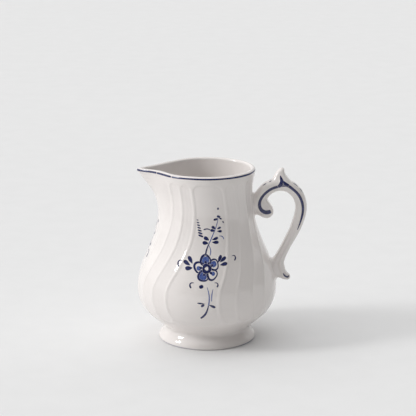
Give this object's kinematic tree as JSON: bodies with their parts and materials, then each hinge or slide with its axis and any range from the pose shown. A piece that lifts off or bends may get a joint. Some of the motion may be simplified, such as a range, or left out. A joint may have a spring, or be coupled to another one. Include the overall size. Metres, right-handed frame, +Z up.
{
  "type": "cream jug",
  "caption": "Porcelain cream jug: baluster body with swirling fluted panels, drawn-out spout, scrolled handle with thumb rest, spreading foot ring, blue lining.",
  "frame": {"origin": "on the surface the jug stands on, under the middle of the overall length from spout tip to handle; the jug's turning axis stands 8.5 mm towards the spout", "axes": "+Z up, the spout points to -X and the handle to +X, +Y across the jug"},
  "size_m": [0.0964, 0.0782, 0.1001],
  "materials": {
    "white_porcelain": "clear gloss glaze over white porcelain",
    "cobalt_paint": "dark cobalt blue paint under the glaze",
    "pale_blue_paint": "thin washed blue line under the glaze"
  },
  "bodies": {
    "root": {"jug_body": "white_porcelain", "foot_ring": "white_porcelain", "handle_strap": "white_porcelain", "handle_scroll": "white_porcelain", "thumb_spur": "white_porcelain", "handle_tail": "white_porcelain", "rim_line": "cobalt_paint", "foot_line": "pale_blue_paint", "handle_line_front": "cobalt_paint", "handle_line_back": "cobalt_paint"}
  },
  "joints": []
}
